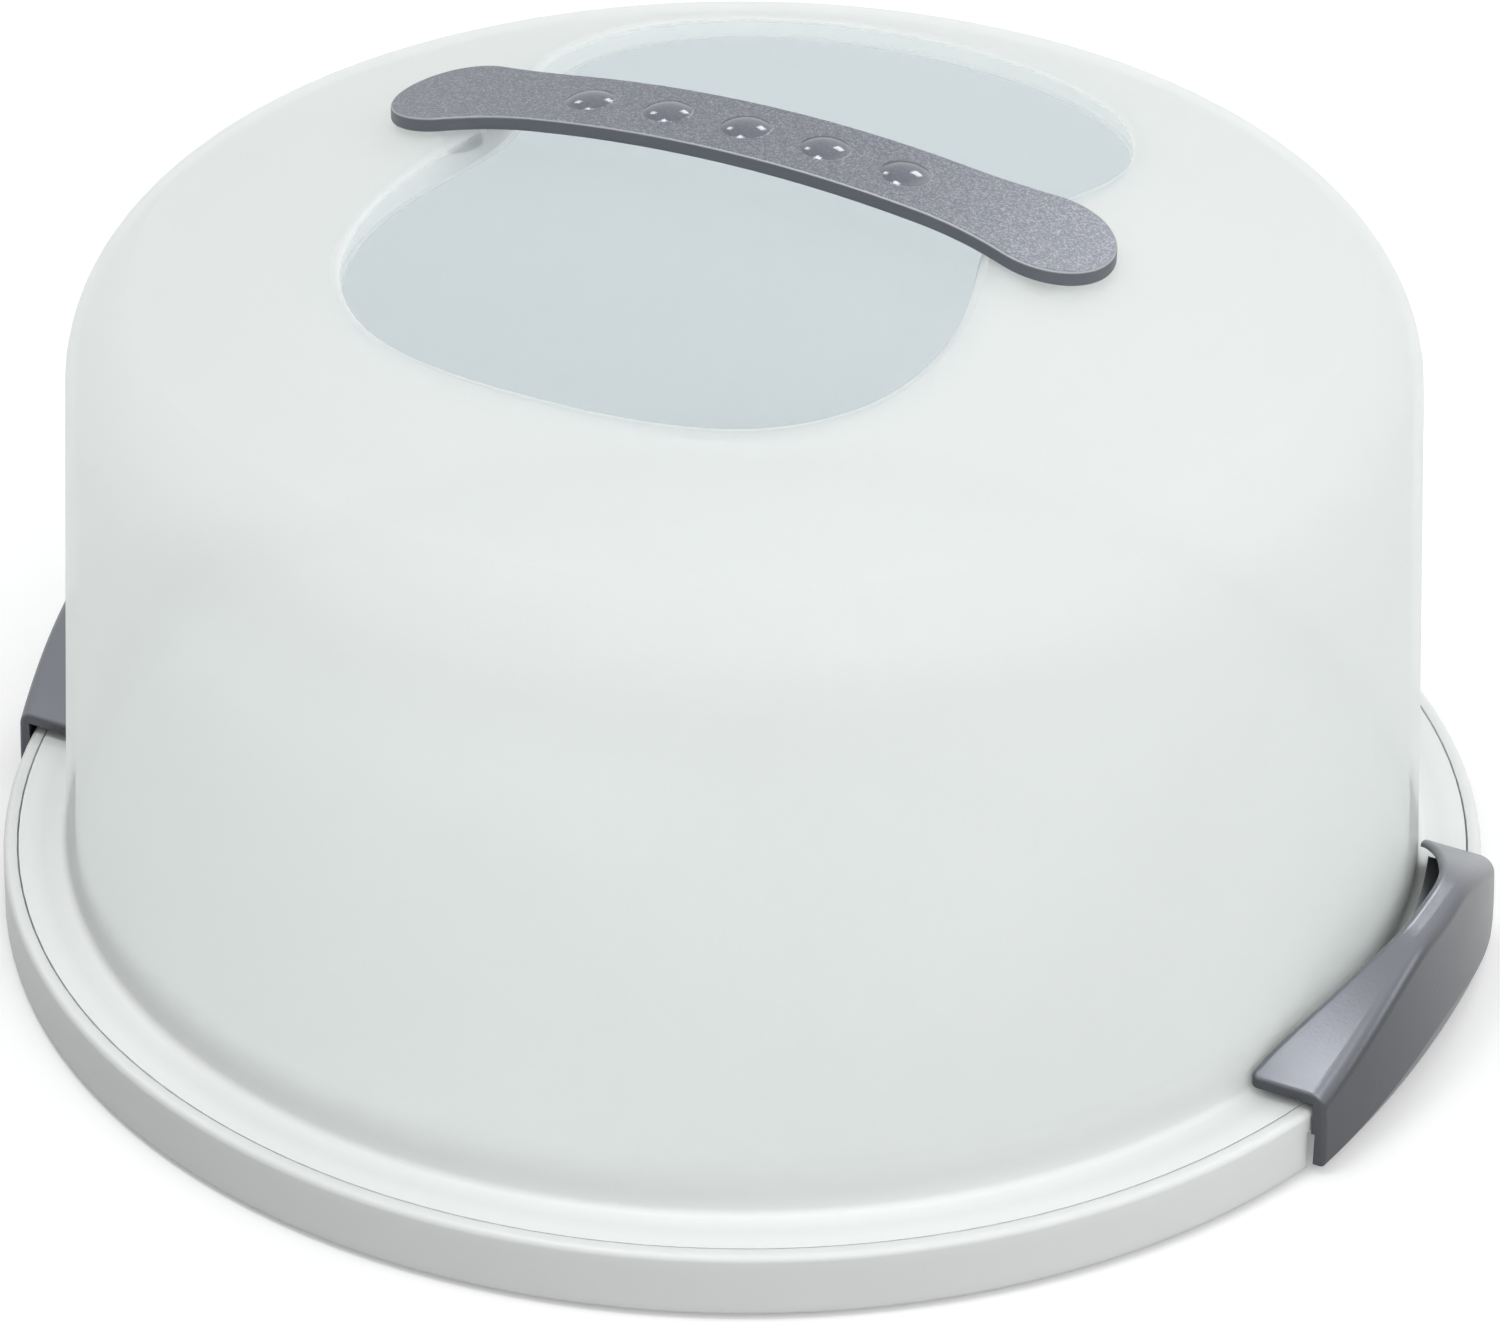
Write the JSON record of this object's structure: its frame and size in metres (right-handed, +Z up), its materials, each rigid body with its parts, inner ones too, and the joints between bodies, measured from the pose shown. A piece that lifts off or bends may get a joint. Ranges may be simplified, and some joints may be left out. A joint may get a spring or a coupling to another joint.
{
  "type": "cake carrier",
  "caption": "Round domed cake carrier: white tray, frosted lift-off cover with a sunk clear window, strap handle and hinged side latches.",
  "frame": {"origin": "centre of the footprint on the surface that the tray's foot ring stands on", "axes": "+Z up, +X along the handle towards the right latch, +Y horizontal across the handle"},
  "size_m": [0.3244, 0.3184, 0.1778],
  "materials": {
    "white_tray": "satin white polypropylene",
    "frosted_cover": "frosted translucent polypropylene with a clearer window",
    "fleck_grey": "grey polypropylene with fine metallic flecks",
    "smooth_grey": "satin grey polypropylene"
  },
  "bodies": {
    "tray": {"base_tray": "white_tray"},
    "cover": {"cover": "frosted_cover", "handle": "fleck_grey"},
    "latch_right": {"latch_right": "smooth_grey"},
    "latch_left": {"latch_left": "smooth_grey"}
  },
  "joints": [
    {"name": "cover_lift", "type": "slide", "parent": "tray", "child": "cover", "axis": [0, 0, 1], "range_m": [0, 0.18]},
    {"name": "latch_right_hinge", "type": "hinge", "parent": "tray", "child": "latch_right", "pos_m": [0.1556, 0, 0.0053], "axis": [0, 1, 0], "range_deg": [0, 60]},
    {"name": "latch_left_hinge", "type": "hinge", "parent": "tray", "child": "latch_left", "pos_m": [-0.1556, 0, 0.0053], "axis": [0, -1, 0], "range_deg": [0, 60]}
  ]
}
